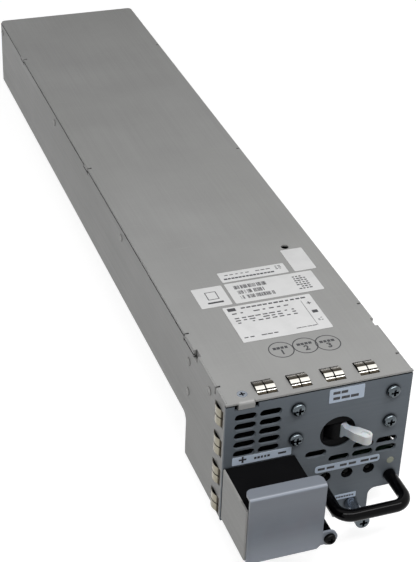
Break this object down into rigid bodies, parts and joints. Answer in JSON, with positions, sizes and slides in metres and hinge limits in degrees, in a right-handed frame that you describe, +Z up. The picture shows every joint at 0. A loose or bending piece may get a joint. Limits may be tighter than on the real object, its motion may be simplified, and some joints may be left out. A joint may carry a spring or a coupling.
{
  "type": "router power supply module",
  "caption": "Long flat plug-in DC power supply with a deep front section, vented panel, pull handle, toggle breaker, covered screw terminals and a captive screw.",
  "frame": {"origin": "middle of the module's box, at the level of its lowest edge, which is the bottom of the tab", "axes": "+Y from the front panel to the back, +X to the right seen from the front, +Z up"},
  "size_m": [0.1044, 0.5368, 0.0914],
  "materials": {
    "zinc_sheet": "matt zinc-plated steel sheet",
    "panel_sheet": "matt zinc-plated steel, bluish",
    "plated_steel": "bright plated steel",
    "black_enamel": "gloss black enamel",
    "black_moulding": "black moulded plastic",
    "milky_plastic": "milky translucent sheet",
    "white_moulding": "white moulded plastic",
    "spring_alloy": "plated copper alloy spring",
    "copper": "tinned or bare copper",
    "dark_lens": "dark tinted lens, unlit",
    "board_laminate": "green board laminate",
    "insulating_film": "insulating film",
    "can_sleeve": "shrunk plastic sleeve",
    "wound_wire": "enamelled winding",
    "ferrite": "ferrite",
    "extruded_aluminium": "extruded aluminium"
  },
  "bodies": {
    "module": {"chassis": "zinc_sheet", "top_cover": "zinc_sheet", "rear_panel": "zinc_sheet", "terminal_shroud": "zinc_sheet", "breaker_cradle": "zinc_sheet", "lid_bracket": "zinc_sheet", "front_panel": "panel_sheet", "lid_screw": "plated_steel", "side_rivets": "plated_steel", "handle_screws": "plated_steel", "retaining_sleeve": "plated_steel", "led_standoffs": "plated_steel", "led_board_screws": "plated_steel", "breaker_screws": "plated_steel", "terminal_washers": "plated_steel", "terminal_nuts": "plated_steel", "terminal_rear_nuts": "plated_steel", "standoff_nut": "plated_steel", "board_standoffs": "plated_steel", "board_screws": "plated_steel", "fan_screws": "plated_steel", "breaker_nuts": "plated_steel", "breaker_pivot_pin": "plated_steel", "handle": "black_enamel", "cover_screw": "black_enamel", "cover_standoff": "black_enamel", "terminal_block": "black_moulding", "breaker_body": "black_moulding", "rear_connector": "black_moulding", "fan_frame": "black_moulding", "terminal_cover": "milky_plastic", "grounding_strip_top": "spring_alloy", "grounding_strip_bottom": "spring_alloy", "grounding_strip_left": "spring_alloy", "grounding_strip_right": "spring_alloy", "input_busbars": "copper", "connector_blades": "copper", "terminal_studs": "copper", "breaker_terminals": "copper", "status_led_left": "dark_lens", "status_led_middle": "dark_lens", "status_led_right": "dark_lens", "main_board": "board_laminate", "led_board": "board_laminate", "insulator_sheet": "insulating_film", "input_capacitors": "can_sleeve", "output_capacitors": "can_sleeve", "input_choke": "wound_wire", "output_inductor": "wound_wire", "transformer_winding": "wound_wire", "transformer_core": "ferrite", "heatsink_left": "extruded_aluminium", "heatsink_right": "extruded_aluminium"},
    "lever": {"breaker_toggle": "white_moulding", "breaker_hub": "black_moulding"},
    "captive_clip": {"retaining_clip": "plated_steel"},
    "captive_screw": {"retaining_screw": "plated_steel"},
    "rotor": {"fan_rotor": "black_moulding"}
  },
  "joints": [
    {"name": "breaker_toggle_swing", "type": "hinge", "parent": "module", "child": "lever", "pos_m": [0.0115, -0.22495, 0.059], "axis": [0, 0, 1], "range_deg": [-80, 0]},
    {"name": "retaining_screw_push", "type": "slide", "parent": "module", "child": "captive_clip", "axis": [0, 1, 0], "range_m": [0, 0.0033]},
    {"name": "retaining_screw_turn", "type": "hinge", "parent": "captive_clip", "child": "captive_screw", "pos_m": [0.0232, -0.23055, 0.0085], "axis": [0, 1, 0], "continuous": true},
    {"name": "fan_spin", "type": "hinge", "parent": "module", "child": "rotor", "pos_m": [0.024, 0.24845, 0.0655], "axis": [0, 1, 0], "continuous": true}
  ]
}
